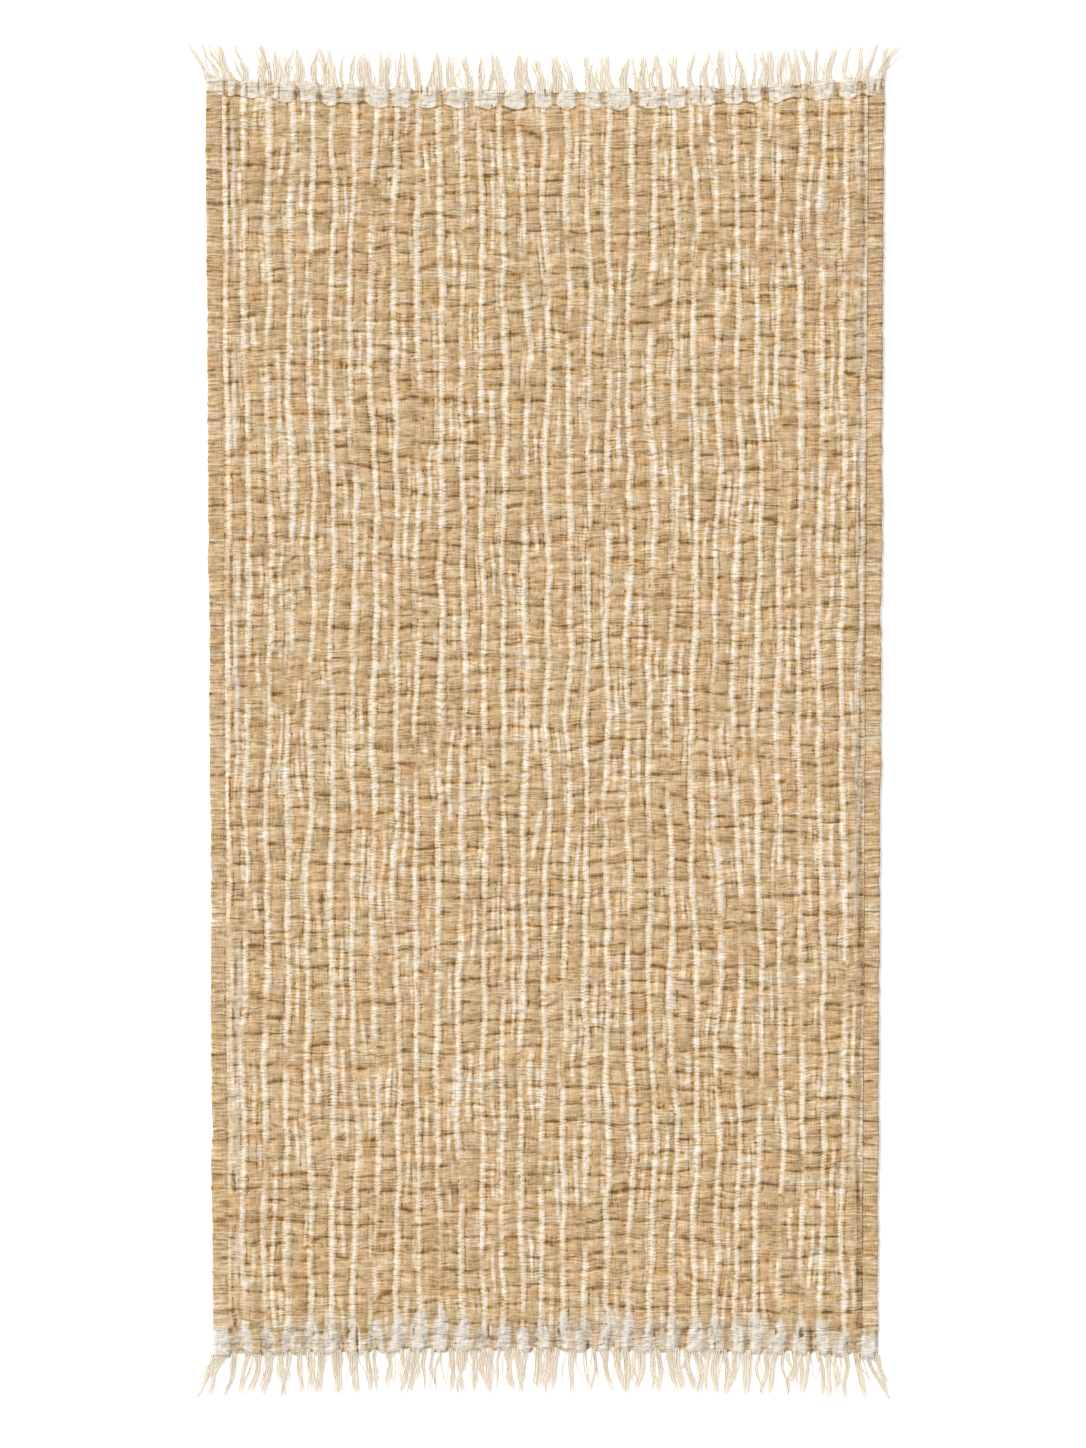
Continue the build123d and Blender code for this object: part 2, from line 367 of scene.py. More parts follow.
# The floor's finish: pale and even, and a little lit from within so that shadows on it stay faint.
floor_glow = 0.32
floor_dye = Dye("pale_floor")
floor_place = floor_dye.part(floor_dye.node("ShaderNodeTexCoord", {}, []).outputs["Object"])
floor_grain = floor_dye.noise(floor_place[0] * 3.0, floor_place[1] * 3.0, 1.0)
floor_colour = floor_dye.tone((0.92, 0.92, 0.92, 1.0), floor_grain * 0.01 + 0.995)
floor_dye.feed(floor_dye.shader.inputs["Base Color"], floor_colour)
floor_dye.shader.inputs["Emission Color"].default_value = (1.0, 1.0, 1.0, 1.0)
floor_dye.shader.inputs["Emission Strength"].default_value = floor_glow
floor_dye.shader.inputs["Roughness"].default_value = 0.9
floor_dye.shader.inputs["Specular IOR Level"].default_value = 0.0
floor_mesh.materials.append(floor_dye.material)


# Outline and crinkle. The cloth narrows a little to its near end, and its end edges draw in towards
# the middle. It was twisted wet and dried, which draws all its plies up into lengthwise ridges.
far_bow = 0.010
near_bow = 0.005
far_band_seed = 80
far_low, far_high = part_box("far_header_band")
near_low, near_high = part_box("near_header_band")
far_edge = far_high.y
near_edge = near_low.y
far_band = far_high.y - far_low.y - far_bow
near_band = near_high.y - near_low.y - near_bow
hem_width = 0.012
face_floor = 0.0039
mm = 0.001
ridge_pitch = ridge_pitch_mm * mm
puff_pitch = puff_pitch_mm * mm
lattice = 128


def ease(value, low, high):
    """Goes smoothly from 0 at low to 1 at high."""
    share = np.clip((value - low) / (high - low), 0, 1)
    return share * share * (3 - 2 * share)


def random_field(x, y, grain_x, grain_y, seed):
    """Smooth random numbers from -1 to 1: random values on a lattice of the given grain in
    millimetres, blended between lattice points with an eased step."""
    table = np.random.default_rng(seed).uniform(-1, 1, (lattice, lattice))
    u = np.asarray(x) / (grain_x * mm) + lattice / 2
    v = np.asarray(y) / (grain_y * mm) + lattice / 2
    column = np.floor(u).astype(int)
    row = np.floor(v).astype(int)
    share_u = ease(u - column, 0, 1)
    share_v = ease(v - row, 0, 1)
    left = column % lattice
    right = (column + 1) % lattice
    below = row % lattice
    above = (row + 1) % lattice
    near_side = table[left, below] * (1 - share_u) + table[right, below] * share_u
    far_side = table[left, above] * (1 - share_u) + table[right, above] * share_u
    return near_side * (1 - share_v) + far_side * share_v


def half_width(y):
    """Half the width of the cloth, which changes evenly along its length."""
    share = (y - near_high.y) / (far_high.y - near_high.y)
    return near_high.x + (far_high.x - near_high.x) * share


def far_line(x):
    """Far edge of the cloth: a shallow arc, drawn in by the far bow at its middle."""
    return far_edge - far_bow * (1 - (x / far_high.x) ** 2)


def near_line(x):
    """Near edge of the cloth: a shallow arc, drawn in by the near bow at its middle."""
    return near_edge + near_bow * (1 - (x / near_high.x) ** 2)


def tab_phase(x, line, seed):
    """Counts the tabs of a band across the mat: fewer and less even than the cords."""
    return crinkle_phase(x, 0 * x + line(0)) * 0.80 + 0.42 * random_field(x, 0 * x, 34, 1, seed)


def far_seam(x):
    """Where the tan weft stops at the far end: the band's inner side, lower under each tab."""
    sag = np.cos(2 * np.pi * tab_phase(x, far_line, far_band_seed + 2))
    wave = 1.4 * random_field(x, 0, 14, 1, 50) + 0.9 * random_field(x, 0, 6, 1, 51)
    return far_line(x) - far_band + (wave - sag) * mm


def near_seam(x):
    """Where the tan weft stops at the near end: the band's inner side, a little wavy."""
    wave = 1.2 * random_field(x, 0, 18, 1, 52) + 0.5 * random_field(x, 0, 7, 1, 53)
    return near_line(x) + near_band + wave * mm


def near_undyed(x, y):
    """How undyed the near end is: cream patches round each cord, which widen and merge towards the
    outer edge, where tan and cream plies mingle."""
    from_edge = (y - near_line(x)) / mm
    cord = np.cos(2 * np.pi * crinkle_phase(x, y)) + 0.55 * random_field(x, y, 8, 26, 21)
    cord = cord + 0.25 * random_field(x, y, 3, 9, 22)
    beside = 1 - ease((half_width(y) - np.abs(x)) / mm, 9, 12)
    from_edge = from_edge + 7 * random_field(x, 0 * x, 15, 1, 54)
    share = ease(cord * (1 - beside) - 2.4 * ease(from_edge, 14, 38), -0.8, 0.1)
    mingled = (0.38 + 0.3 * random_field(x, y, 9, 12, 23)) * (1 - ease(from_edge, 4, 26))
    return share + (1 - share) * mingled


def crinkle_phase(x, y):
    """Counts cords across the cloth: one more for each ridge pitch, with slow and quick wandering."""
    wander = 0.17 * random_field(x, y, 60, 150, 1) + 0.15 * random_field(x, y, 22, 62, 2)
    return x / ridge_pitch + wander + 0.07 * random_field(x, y, 15, 21, 3)


def puff_turn(x, y):
    """Counts the puffs along the cloth, pinched together at each half turn."""
    return y / puff_pitch + 0.15 * random_field(x, y, 16, 26, 9) + 0.42 * random_field(x, y, 70, 30, 10)


def crinkle(x, y):
    """Height of the crinkles in millimetres above their deepest valley: a narrow cord at each whole
    phase, and between the cords a column of puffs, pinched together along y."""
    phase = crinkle_phase(x, y)
    off = np.abs(phase - np.round(phase))
    cord = (1 - ease(off, 0.02, 0.20)) * (1.2 + 0.5 * random_field(x, y, 12, 8, 4))
    puff = (0.5 + 0.5 * np.cos(2 * np.pi * puff_turn(x, y))) ** 0.4
    field = ease(off, 0.07, 0.40) * (0.35 + 1.6 * puff) * (0.85 + 0.35 * random_field(x, y, 15, 20, 8))
    puckers = 0.28 * random_field(x, y, 7, 6, 5) + 0.16 * random_field(x, y, 4.2, 4.2, 6)
    return 0.7 + cord + field + puckers + 0.3 * random_field(x, y, 90, 120, 7)


def face_skin(x, y):
    """Top of the face cloth: its crinkles, pressed flat towards its hems and less towards its ends."""
    from_side = (half_width(y) - hem_width - np.abs(x)) / mm
    from_end = np.minimum(far_seam(x) - y, y - near_seam(x)) / mm
    share = ease(from_side, -0.5, 7) * (0.35 + 0.65 * ease(from_end, -1, 16))
    share = share * ease((far_seam(x) - y) / mm, 0, 2.5)
    return face_floor + (crinkle(x, y) * share - 0.25 * (1 - ease(from_side, 0, 2))) * mm


def put(piece, *nodes, slot, finish):
    """Gives a finished piece its material and its body, and hides the nodes it stands for."""
    piece.data.materials.append(finish)
    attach(piece, "root")
    if nodes:
        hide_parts(*nodes)


sharp_angle = 1.0


def cloth_piece(name, points, faces, phase=None, undyed=None, painted_shade=None):
    """Mesh object from rows of points and lists of faces, smooth shaded, with the crinkle map (how
    many cords across and puffs along) and, at each point, how undyed it is and how much painted shade
    its finish lays on it."""
    mesh = bpy.data.meshes.new(name)
    mesh.from_pydata(points, [], faces)
    mesh.shade_smooth()
    mesh.set_sharp_from_angle(angle=sharp_angle)
    corner = np.empty(len(mesh.loops), dtype=np.int32)
    mesh.loops.foreach_get("vertex_index", corner)
    if phase is not None:
        layer = mesh.uv_layers.new(name="crinkle")
        turn = puff_turn(points[:, 0], points[:, 1])
        flat = np.stack([phase[corner], turn[corner]], axis=1)
        layer.data.foreach_set("uv", flat.astype(np.float32).ravel())
    for label, values in (("undyed", undyed), ("painted_shade", painted_shade)):
        if values is not None:
            field = mesh.attributes.new(label, "FLOAT", "POINT")
            field.data.foreach_set("value", values.astype(np.float32))
    piece = bpy.data.objects.new(name, mesh)
    bpy.context.collection.objects.link(piece)
    return piece


def shell(x, y, skin, flat_side, coarse, upward=True):
    """Points and faces of a closed ply over a grid of rows and columns: a fine skin, a wall round
    it, and a flat side that keeps only each coarse-th row and column away from the wall."""
    rows, columns = x.shape
    index = np.arange(rows * columns).reshape(rows, columns)
    skin_faces = np.stack([index[:-1, :-1], index[:-1, 1:], index[1:, 1:], index[1:, :-1]], axis=-1)
    rim = np.concatenate([index[0, :-1], index[:-1, -1], index[-1, :0:-1], index[:0:-1, 0]])
    below = rows * columns + np.arange(len(rim))
    wall = np.stack([rim, below, np.roll(below, -1), np.roll(rim, -1)], axis=-1)
    lower = np.full((rows, columns), -1)
    lower.ravel()[rim] = below
    inside = np.zeros((rows, columns), bool)
    inside[coarse:-1:coarse, coarse:-1:coarse] = True
    lower[inside] = rows * columns + len(rim) + np.arange(inside.sum())
    cells = []
    for row in range(0, rows - 1, coarse):
        for column in range(0, columns - 1, coarse):
            near = lower[row, column : column + coarse + 1]
            right = lower[row : row + coarse + 1, column + coarse]
            far = lower[row + coarse, column : column + coarse + 1][::-1]
            left = lower[row : row + coarse + 1, column][::-1]
            loop = np.concatenate([near[:-1], right[:-1], far[:-1], left[:-1]])
            cells.append(loop[loop >= 0][::-1].tolist())
    flat_x = np.concatenate([x.ravel()[rim], x[inside]])
    flat_y = np.concatenate([y.ravel()[rim], y[inside]])
    flat_points = np.stack([flat_x, flat_y, np.full(len(flat_x), flat_side)], axis=1)
    points = np.concatenate([np.stack([x.ravel(), y.ravel(), skin.ravel()], axis=1), flat_points])
    faces = skin_faces.reshape(-1, 4).tolist() + wall.tolist() + cells
    if not upward:
        faces = [face[::-1] for face in faces]
    return points, faces


def body_grid(columns, rows, side_inset, end_overlap):
    """Grid over the body of the cloth: across between its hems, along between its bands."""
    share = np.linspace(-1, 1, columns + 1)[None, :]
    rise = np.linspace(0, 1, rows + 1)[:, None]
    guess = share * (near_high.x - side_inset)
    low = near_seam(guess) - end_overlap
    y = low + (far_seam(guess) + end_overlap - low) * rise
    x = share * (half_width(y) - side_inset)
    low = near_seam(x) - end_overlap
    return x, low + (far_seam(x) + end_overlap - low) * rise


# Face cloth: the ply that is seen and trodden on. One width of open cotton gauze, tan weft on
# cream warp, held by its hems at the sides and by the header bands at the ends.
face_gauze = gauze("face_gauze")
face_flat_side = 3.4 * mm
cuts = 6
cells_across = 46
cells_along = 55
ply_overlap = 0.6 * mm


def stripe(gap_shade, middle, inner, outer):
    """1 along a line of the cloth that runs middle mm from a hem, down to 0 between inner and outer
    mm to either side of it."""
    return 1 - ease(np.abs(gap_shade - middle), inner, outer)


x, y = body_grid(cells_across * cuts, cells_along * cuts, hem_width, ply_overlap)
from_side = (half_width(y) - hem_width - np.abs(x)) / mm
height = crinkle(x, y)
skin = face_skin(x, y)
phase = crinkle_phase(x, y)
# Painted shade: darker in the crinkle's valleys, along the face's edge beside each hem, and in a crease
# line along the far seam.
painted_shade = ease(height, 1.5, 0.4)
painted_shade = np.maximum(painted_shade, 0.5 * (1 - ease(from_side, 0.1, 1.0)))
crease_shade = 2.2 + 1.4 * random_field(x, y, 9, 60, 24)
painted_shade = np.maximum(painted_shade, crease_shade * (1 - ease((far_seam(x) - y) / mm, 0.6, 2.2)))
undyed = near_undyed(x, y)

# Two cords beside the left hem and one beside the right show their cream warp. The space between
# the left cords, and a line between the right cord and its hem, are painted as shade that comes and
# goes along the hem.
left_gap = (x + half_width(y) - hem_width) / mm
left_gap = left_gap + 1.1 * random_field(x, y, 400, 12, 25) + 2.0 * random_field(x, y, 400, 60, 28)
lap = ease(random_field(0 * x, y, 400, 30, 26), -0.5, 0.4)
undyed = np.maximum(undyed, 0.50 * lap * stripe(left_gap, 2.0, 0.9, 2.2))
undyed = np.maximum(undyed, 0.75 * lap * stripe(left_gap, 8.0, 0.8, 2.0))
painted_shade = painted_shade * (1 - undyed * (left_gap < 12))
gap_shade = 2.4 * ease(random_field(0 * x, y, 400, 17, 27), -0.35, 0.45)
painted_shade = np.maximum(painted_shade, gap_shade * stripe(left_gap, 5.0, 0.2, 1.5))
right_gap = (half_width(y) - hem_width - x) / mm
right_gap = right_gap + 1.0 * random_field(x, y, 400, 12, 29) + 1.5 * random_field(x, y, 400, 55, 31)
lap = ease(random_field(0 * x, y, 400, 34, 32), -0.6, 0.2)
undyed = np.maximum(undyed, 0.55 * lap * stripe(right_gap, 6.0, 0.8, 2.2))
gap_shade = 2.2 * ease(random_field(0 * x, y, 400, 26, 33), -0.2, 0.5)
painted_shade = np.maximum(painted_shade, gap_shade * stripe(right_gap, 2.6, 0.2, 1.5))
points, faces = shell(x, y, skin, face_flat_side, cuts)
tail = np.zeros(len(points) - x.size)
face_cloth = cloth_piece(
    "face_cloth_gauze",
    points,
    faces,
    np.concatenate([phase.ravel(), tail]),
    np.concatenate([undyed.ravel(), tail]),
    np.concatenate([painted_shade.ravel(), tail]),
)
put(face_cloth, "face_cloth", slot="tan_gauze", finish=face_gauze)

# Inner cloths: two more plies of the same gauze, hidden between the face and the back. They are
# caught in the hems and bands with the others and give the mat its loft.
inner_gauze = gauze("inner_gauze", streaks=0.7, shade_strength=0.6)
inner_cuts = 4
inner_set_back = 0.4 * mm
inner_thickness = 0.35
for node, flat_side in (("lower_inner_cloth", 1.25), ("upper_inner_cloth", 2.35)):
    x, y = body_grid(20 * inner_cuts, 30 * inner_cuts, hem_width + inner_set_back, -inner_set_back)
    loft = 0.17 * crinkle(x, y) * ease(half_width(y) - hem_width - np.abs(x), 0, 10 * mm)
    skin = (flat_side + inner_thickness + loft) * mm
    points, faces = shell(x, y, skin, flat_side * mm, inner_cuts)
    tail = np.zeros(len(points) - x.size)
    phase = np.concatenate([crinkle_phase(x, y).ravel(), tail])
    blank = np.zeros(len(points))
    inner = cloth_piece(node + "_gauze", points, faces, phase, blank, blank)
    put(inner, node, slot="inner_gauze", finish=inner_gauze)

# Back cloth: the ply that lies on the floor. The same gauze, pressed flatter by the weight above,
# with its crinkles showing as shallow ones from below.
back_gauze = gauze("back_gauze", streaks=0.8, shade_strength=0.8)
back_cells = 34
back_flat_side = 1.2 * mm
x, y = body_grid(back_cells * cuts, back_cells * cuts, hem_width, ply_overlap)
depth = np.clip(1.5 - 0.45 * crinkle(x, y), 0, 1.1)
points, faces = shell(x, y, depth * mm, back_flat_side, cuts, upward=False)
tail = np.zeros(len(points) - x.size)
phase = np.concatenate([crinkle_phase(x, y).ravel(), tail])
blank = np.zeros(len(points))
# Painted shade in the recesses of the underside, where it lies furthest from the floor.
painted_shade = np.concatenate([ease(depth, 0.6, 1.1).ravel(), tail])
back_cloth = cloth_piece("back_cloth_gauze", points, faces, phase, blank, painted_shade)
put(back_cloth, "back_cloth", slot="tan_gauze", finish=back_gauze)


# Side hems: each long edge is turned in once and pressed, which leaves a flat strip with a rounded
# fold outside and the weft's ribs showing across it.
hem_steps = 1200
hem_profile_steps = 11
hem_end_overlap = 0.8 * mm
hem_middle = 1.5
hem_gauze = gauze(
    "hem_gauze", streaks=0.35, shade_strength=1.0, relief=0.0005, ribs=1.7, weft_pitch=3.5, lift=0.02
)
for side_name, side in (("left", -1), ("right", 1)):
    seed = 30 + side
    top = np.linspace(0, 1, hem_profile_steps)[None, :]
    length = np.linspace(0, 1, hem_steps + 1)[:, None]
    edge_x = near_high.x
    low = near_seam(side * edge_x) - hem_end_overlap
    high = far_seam(side * edge_x) + hem_end_overlap
    y = low + (high - low) * length
    wobble = 0.6 * random_field(0 * y, y, 1, 38, seed) + 0.35 * random_field(0 * y, y, 1, 11, seed + 1)
    wobble = wobble + 0.35 * random_field(0 * y, y, 1, 3.4, seed + 5)
    edge = half_width(y) + (wobble - 0.3) * mm
    seam = half_width(y) - hem_width - 0.15 * mm
    rib = np.sin(2 * np.pi * y / (weft_pitch_mm * mm) + 2.4 * random_field(0 * y, y, 1, 9, seed + 2))
    rib_top = rib * 0.26 + 0.3 * random_field(0 * y, y, 1, 16, seed + 3)
    across = top**0.8
    outward = np.sin(np.pi / 2 * across)
    over_x = seam + (edge - seam) * outward
    dome = np.cos(np.pi / 2 * across**3) ** 0.6
    over_z = hem_middle + (1.9 + rib_top * (0.3 + 0.7 * dome)) * dome
    over_z = over_z - 0.3 * (1 - ease(across, 0.0, 0.14))
    under_z = np.broadcast_to(hem_middle - 1.3 * dome, over_z.shape)
    ring_x = np.concatenate([over_x, over_x[:, -2::-1]], axis=1)
    ring_z = np.concatenate([over_z, under_z[:, -2::-1]], axis=1)
    ring_y = np.broadcast_to(y, ring_x.shape)
    points = np.stack([side * ring_x, ring_y, ring_z * mm], axis=-1).reshape(-1, 3)
    rows, columns = ring_x.shape
    index = np.arange(rows * columns).reshape(rows, columns)
    after = np.roll(index, -1, axis=1)
    tube = np.stack([index[:-1], after[:-1], after[1:], index[1:]], axis=-1).reshape(-1, 4)
    faces = tube.tolist() + [index[0][::-1].tolist(), index[-1].tolist()]
    if side > 0:
        faces = [face[::-1] for face in faces]
    # Painted shade along the inner side of the hem's top, where the hem meets the face.
    valley = np.zeros(ring_x.shape)
    valley[:, 0] = 0.4
    phase = np.full(len(points), 0.5)
    blank = np.zeros(len(points))
    hem = cloth_piece(f"{side_name}_side_hem_fold", points, faces, phase, blank, valley.ravel())
    put(hem, f"{side_name}_side_hem", slot="hem_gauze", finish=hem_gauze)


# Hem threads: one running stitch holds each hem down, in a fine thread of the hem's own tan, long
# runs on top and short ones below, pulled half into the cloth.
thread_radius = 0.26 * mm
stitch_pitch = 12.0 * mm
stitch_length = 7.0 * mm
stitch_tail = 0.6 * mm
stitch_inset = 2.0 * mm
thread_sides = 6
thread_steps = 6


def tubes(routes, radii):
    """Points (route, step, side) and faces of closed tubes: rings square to each route, and an end
    face on each. The route's step is the difference of its neighbours."""
    count, steps, sides = routes.shape[0], routes.shape[1], radii.shape[2]
    ahead = np.gradient(routes, axis=1)
    ahead = ahead / np.linalg.norm(ahead, axis=2, keepdims=True)
    aside = np.stack([ahead[..., 1], -ahead[..., 0], 0 * ahead[..., 0]], axis=-1)
    aside = aside / np.linalg.norm(aside, axis=2, keepdims=True)
    above = np.cross(aside, ahead)
    turn = (np.arange(sides) * 2 * np.pi / sides)[:, None]
    out = np.cos(turn) * aside[:, :, None, :] + np.sin(turn) * above[:, :, None, :]
    points = (routes[:, :, None, :] + radii[..., None] * out).reshape(-1, 3)
    index = np.arange(count * steps * sides).reshape(count, steps, sides)
    after = np.roll(index, -1, axis=2)
    around = np.stack([index[:, :-1], index[:, 1:], after[:, 1:], after[:, :-1]], axis=-1).reshape(-1, 4)
    faces = around.tolist() + index[:, 0].tolist() + index[:, -1, ::-1].tolist()
    return points, faces


thread_dye = Dye("hem_thread")
thread_place = thread_dye.part(thread_dye.node("ShaderNodeTexCoord", {}, []).outputs["Object"])
thread_twist = (thread_place[0] * 5200.0 + thread_place[1] * 4200.0).math("SINE")
thread_grain = thread_dye.noise(thread_place[0] * 900.0, thread_place[1] * 300.0, 2.0)
thread_tone = thread_dye.tone(rgb(214, 187, 148), thread_grain * 0.3 + thread_twist * 0.08 + 0.85)
thread_finish = thread_dye.finish(thread_tone, 0.85, thread_twist, 0.00006)
for side_name, side in (("left", -1), ("right", 1)):
    node = f"{side_name}_hem_thread"
    low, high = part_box(node)
    runs = round((high.y - low.y - stitch_length) / stitch_pitch) + 1
    along = np.linspace(-1, 1, thread_steps + 1)[None, :]
    over_y = low.y + stitch_length / 2 + np.arange(runs)[:, None] * stitch_pitch
    over_y = over_y + along * (stitch_length / 2 + stitch_tail)
    under_y = low.y + (stitch_length + stitch_pitch) / 2 + np.arange(runs - 1)[:, None] * stitch_pitch
    under_y = under_y + along * ((stitch_pitch - stitch_length) / 2 + stitch_tail)
    sunk = ease(np.abs(along), 0.75, 1.0) * 0.8 * mm
    over_z = np.broadcast_to(3.35 * mm - sunk, over_y.shape)
    under_z = np.broadcast_to(0.30 * mm + sunk, under_y.shape)
    y = np.concatenate([over_y, under_y])
    z = np.concatenate([over_z, under_z])
    x = side * (half_width(y) - hem_width + stitch_inset)
    x = x + 0.15 * mm * random_field(y, 0 * y, 9, 1, 70 + side)
    routes = np.stack([x, y, z], axis=-1)
    points, faces = tubes(routes, np.full((*routes.shape[:2], thread_sides), thread_radius))
    thread = cloth_piece(node + "_stitch", points, faces)
    put(thread, node, slot="hem_thread", finish=thread_finish)

# Header bands: past the tan weft each end is woven undyed for the last of its length, all plies as
# one. The warp cords run into it and pucker it into tabs with creases between them.
band_gauze = gauze("band_gauze", streaks=0.6, shade_strength=1.0, relief=0.0005)
band_floor = 0.15 * mm
band_columns = 462
band_ends = (
    ("far", far_seam, far_line, 1, far_high.x, 14, far_band_seed),
    ("near", near_seam, near_line, -1, near_high.x, 22, 90),
)
for end_name, seam, line, outward, edge_side, rows, seed in band_ends:
    share = np.linspace(-1, 1, band_columns + 1)[None, :]
    rise = np.linspace(0, 1, rows + 1)[:, None]
    x = np.broadcast_to(share * edge_side, (rows + 1, share.shape[1]))
    tab = tab_phase(x, line, seed + 2)

    def tabs(x, y):
        """1 in the middle of a tab of the band, below -1 in the crease beside it."""
        from_side = (half_width(y) - np.abs(x)) / mm
        beside = 2.6 * (1 - ease(from_side, 10, 13)) - 2.4 * stripe(from_side, 15, 0.8, 2.2)
        wander = 0.06 * random_field(x, y, 9, 12, seed + 3)
        return np.cos(2 * np.pi * (tab + wander)) + 0.45 * random_field(x, y, 6, 12, seed + 4) + beside

    ragged = 0.8 * random_field(x, 0 * x, 6, 1, seed) + 0.4 * random_field(x, 0 * x, 2.6, 1, seed + 1)
    notch = 3.0 * (1 - ease(tabs(x, 0 * x + line(x)), -1.25, -0.3))
    outer = line(x) + outward * (ragged - notch + 0.6) * mm
    inner = seam(x)
    if outward > 0:
        y = inner + (outer - inner) * rise
    else:
        y = outer + (inner - outer) * rise
    x = share * half_width(y)
    from_edge = np.abs(outer - y) / mm
    from_seam = np.abs(inner - y) / mm
    from_side = (half_width(y) - np.abs(x)) / mm
    phase = crinkle_phase(x, y)
    wave = tabs(x, y)
    if outward > 0:
        raised = ease(wave, -1.1, -0.2)
        dyed = 0.8 * (1 - ease(wave, -1.0, -0.45))
        lapped = 1 - ease(from_seam, 0, 4)
        height = 1.35 + 1.3 * raised + (0.55 + 1.1 * ease(from_side, 8, 14)) * lapped
        # Painted shade at the far end: in the low creases between the tabs, and in a line along the
        # seam.
        band_shade = 0.15 + 0.5 * (1 - raised) + 0.2 * ease(from_seam, 3, 0) * raised
    else:
        raised = ease(wave, -1.0, 0.3)
        dyed = 1 - near_undyed(x, y)
        lapped = 1 - ease(from_seam, 0, 16)
        beside = ease(from_side, 11.5, 12.5)
        meeting = ((face_skin(x, y) - band_floor) / mm - 0.12) * beside + 3.1 * (1 - beside)
        height = (1.3 + 1.3 * raised) * (1 - lapped) + meeting * lapped
        # Painted shade at the near end: between the tabs, and near the seam in the crinkle's valleys, as
        # on the face.
        band_shade = 0.5 * (1 - raised) * (1 - lapped) + lapped * ease(crinkle(x, y), 1.5, 0.4)
    puckered = 0.35 * random_field(x, y, 5, 5, seed + 6) + 0.25 * random_field(x, y, 2.8, 2.6, seed + 7)
    crease = 0.8 * ease(random_field(x, y, 2.6, 16, seed + 8), 0.66, 0.90) * ease(from_seam, 0, 3)
    height = height + puckered * ease(from_seam, 0, 3) - 0.8 * crease
    height = height * (0.45 + 0.55 * ease(from_edge, -0.2, 3.0))
    height = height * (0.35 + 0.65 * ease(from_side, -0.2, 2.5))
    # Painted shade also in the creases and in a groove along the line of each hem.
    groove = stripe(from_side, 12, 0.3, 1.3) * ease(from_seam, 0, 3)
    painted_shade = band_shade + 1.4 * crease + 0.3 * groove
    skin = band_floor + np.clip(height, 0.3, 6.0) * mm
    points, faces = shell(x, y, skin, band_floor, rows // 2)
    tail = np.zeros(len(points) - x.size)
    band = cloth_piece(
        f"{end_name}_header_band_weave",
        points,
        faces,
        np.concatenate([phase.ravel(), tail]),
        np.concatenate([1 - dyed.ravel(), tail + 1]),
        np.concatenate([painted_shade.ravel(), tail]),
    )
    put(band, f"{end_name}_header_band", slot="cream_band", finish=band_gauze)

# Fringe: the warp left long past each band. It lies on the floor in tufts, a few soft yarns in each
# ribbon of a tuft, which lean, curl, cross and taper off. The corner tufts spread outwards.
yarn_sides = 8
yarn_steps = 15
bundles_per_end = 40
bundles_per_node = 2
bundle_margin = 4.6 * mm
yarn_spacing = 1.08 * mm
yarn_root = 2.6 * mm
yarn_floor = 0.60 * mm
yarn_dye = Dye("fringe_yarn")
yarn_place = yarn_dye.part(yarn_dye.node("ShaderNodeTexCoord", {}, []).outputs["Object"])
yarn_x = yarn_place[0] * 1000.0
yarn_y = yarn_place[1] * 1000.0
# Painted shade: the yarns darken along their sides, where neighbours meet.
yarn_shade = yarn_dye.number("ShaderNodeAttribute", {"attribute_name": "painted_shade"}, [], 2)
yarn_twist = (yarn_x * 4.6 + yarn_y * 3.4).math("SINE")
yarn_grain = yarn_dye.noise(yarn_x / 1.1, yarn_y / 3.5, 5.0, 2.0) - 0.5
yarn_fibre = yarn_dye.noise(yarn_x / 0.25, yarn_y / 0.8, 8.0, 1.0) - 0.5
yarn_tone = yarn_dye.mix(yarn_shade, rgb(250, 240, 219), rgb(176, 134, 84))
yarn_tone = yarn_dye.tone(yarn_tone, yarn_grain * 0.14 + yarn_fibre * 0.10 + yarn_twist * 0.02 + 1.09)
yarn_height = yarn_twist * 0.6 + yarn_fibre * 1.2
yarn_finish = yarn_dye.finish(yarn_tone, 0.88, yarn_height, 0.00010)


def ribbon_routes(chance, root_x, lean, line, outward, length, count, rise):
    """Routes of one ribbon's yarns, root to tip. Each runs x = root + lean s^1.2 + a curl, with the
    yarns side by side, closing up or opening out towards the tip."""
    s = np.linspace(0, 1, yarn_steps + 1)[None, :]
    yarn = (np.arange(count) - (count - 1) / 2)[:, None]
    closing = chance.uniform(-0.2, 0.6)
    spread = yarn * yarn_spacing * (1.15 - (closing + 0.15) * s)
    swing = chance.uniform(-2.6, 2.6) * mm
    curl = swing * (np.sin(np.pi * s * chance.uniform(1.0, 1.9) + chance.uniform(-0.5, 0.5)) - 0.3 * s)
    bends = chance.uniform(1.3, 2.8, (count, 1))
    stray = chance.uniform(-0.55, 0.55, (count, 1)) * mm
    stray = stray * np.sin(np.pi * s * bends + chance.uniform(0, 6, (count, 1)))
    x = root_x + lean * s**1.2 + spread + (curl + stray) * ease(s, -0.1, 0.5)
    reach = length * (1 - 0.14 * chance.uniform(0, 1, (count, 1)) ** 2) * chance.uniform(0.93, 1.02)
    y = line(root_x) + outward * (s * (reach + yarn_root) - yarn_root)
    drop = (1 - ease(s, 0.05, 0.32)) * 0.85 * mm
    lift = (0.5 + 0.5 * np.sin(np.pi * s * 1.5 + chance.uniform(0, 6))) * 0.25 * mm
    lift = lift + rise * np.sin(np.pi * s)
    z = yarn_floor + drop + lift + 0 * x
    return np.stack([x, y, z], axis=-1)


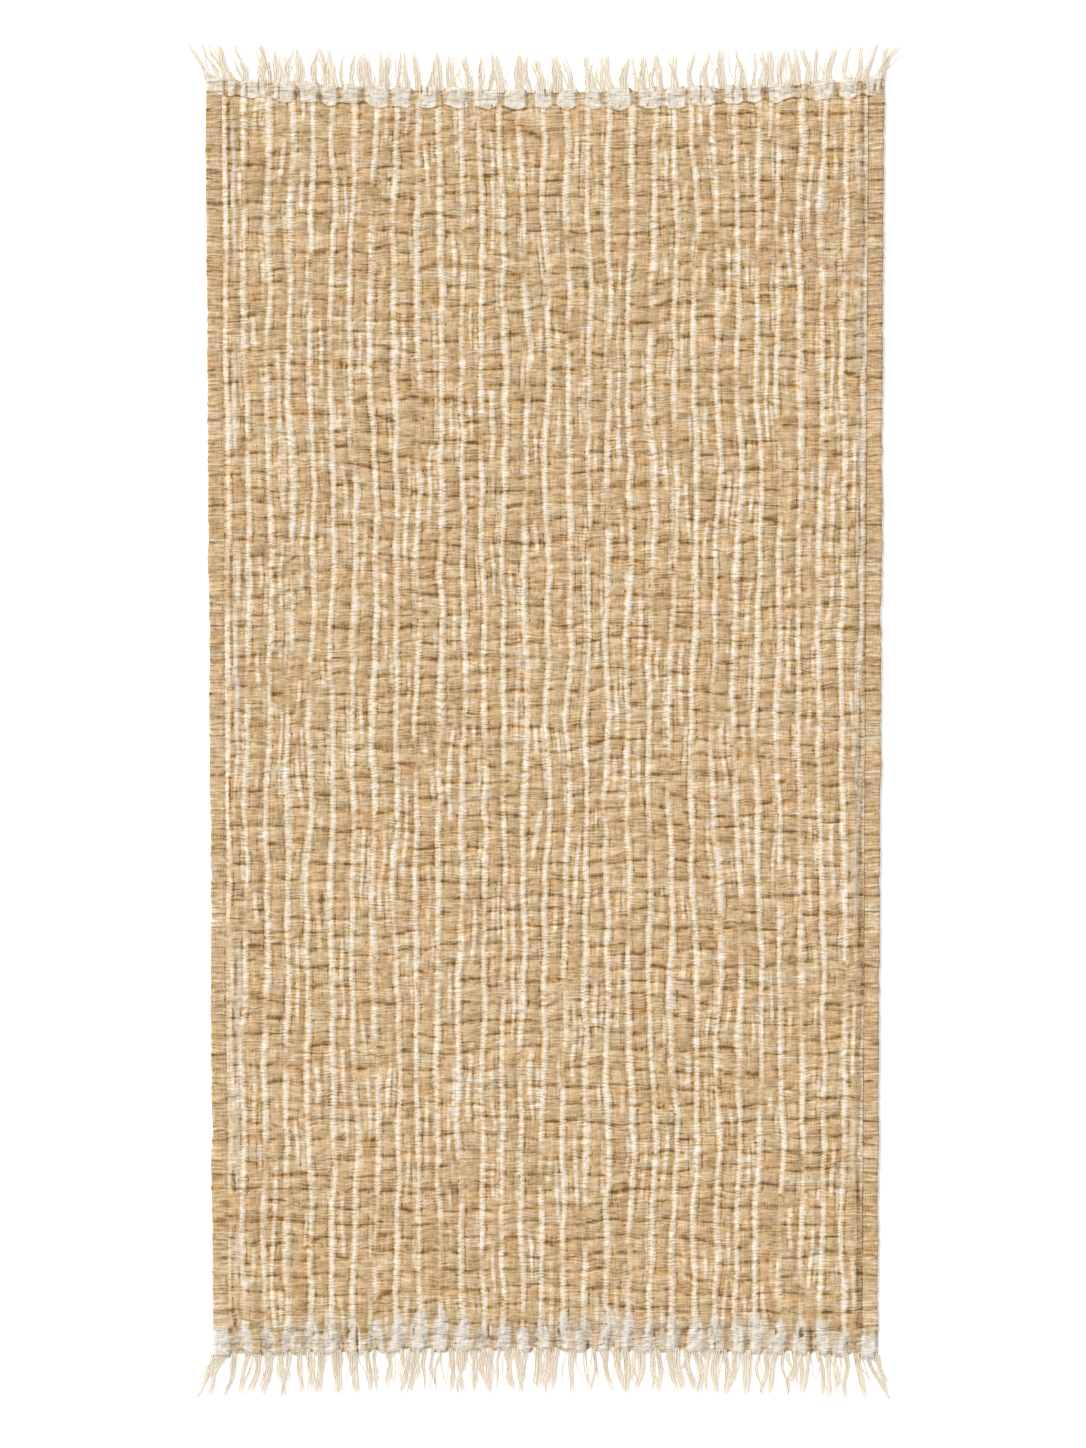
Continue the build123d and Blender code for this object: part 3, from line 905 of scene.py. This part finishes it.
fringe_ends = (
    ("far", far_line, far_high.x, 1, cad_high.y - far_edge),
    ("near", near_line, near_high.x, -1, near_edge - cad_low.y),
)
for end_name, line, edge_side, outward, length in fringe_ends:
    chance = np.random.default_rng(400 + outward)
    bundle_pitch = 2 * (edge_side - bundle_margin) / (bundles_per_end - 1)
    for group in range(bundles_per_end // bundles_per_node):
        routes = []
        sizes = []
        for bundle in range(bundles_per_node * group, bundles_per_node * (group + 1)):
            centre = bundle_margin - edge_side + bundle * bundle_pitch
            splay = 12 * mm * (centre / edge_side) ** 9
            corner = abs(centre) > edge_side - 14 * mm
            root = centre + (0 if corner else chance.uniform(-1.4, 1.4) * mm)
            lean = splay + chance.normal(0, 2.4) * mm
            pair = corner or chance.uniform() < 0.62
            half_gap = chance.uniform(2.6, 4.4) * mm
            meet = half_gap * chance.choice([-1.0, -0.8, -0.65, -0.4, 0.1, 0.5])
            for ribbon in (-1, 1) if pair else (0,):
                count = 3 if corner else int(chance.integers(2, 5) if pair else chance.integers(3, 6))
                rise = 0.5 * mm if ribbon > 0 and meet < 0 else 0.0
                start = root + ribbon * half_gap
                bent = lean + ribbon * meet + chance.normal(0, 0.8) * mm
                routes.append(ribbon_routes(chance, start, bent, line, outward, length, count, rise))
                sizes.append(chance.uniform(0.46, 0.60, count))
            for _ in range(int(chance.integers(3, 7))):
                aim = lean + chance.uniform(-6.0, 6.0) * mm
                start = root + (0.3 if corner else 1.0) * chance.uniform(-5.0, 5.0) * mm
                reach = length * chance.uniform(0.6, 1.0)
                routes.append(ribbon_routes(chance, start, aim, line, outward, reach, 1, 0.3 * mm))
                sizes.append(chance.uniform(0.34, 0.52, 1))
        routes = np.concatenate(routes)
        sizes = np.concatenate(sizes)[:, None] * mm
        s = np.linspace(0, 1, yarn_steps + 1)[None, :]
        radii = sizes * (1 - 0.72 * s**5) * (0.9 + 0.1 * np.sin(9 * s + sizes * 1e5))
        radii = np.repeat(radii[:, :, None], yarn_sides, axis=2)
        points, faces = tubes(routes, radii)
        # Painted shade at the sides of each yarn, where it meets its neighbours, stronger at the root
        # and fading towards the tip.
        beside = np.abs(np.cos(np.arange(yarn_sides) * 2 * np.pi / yarn_sides))[None, None, :] ** 3
        side_shade = chance.uniform(0.3, 1.0, (len(routes), 1, 1)) * (1.0 - 0.55 * s[:, :, None])
        tint = (1.35 * beside * side_shade + 0.08 * side_shade).ravel()
        node = f"{end_name}_fringe_{group + 1:02d}"
        tuft = cloth_piece(node + "_tuft", points, faces, None, None, tint)
        put(tuft, node, slot="fringe_warp", finish=yarn_finish)
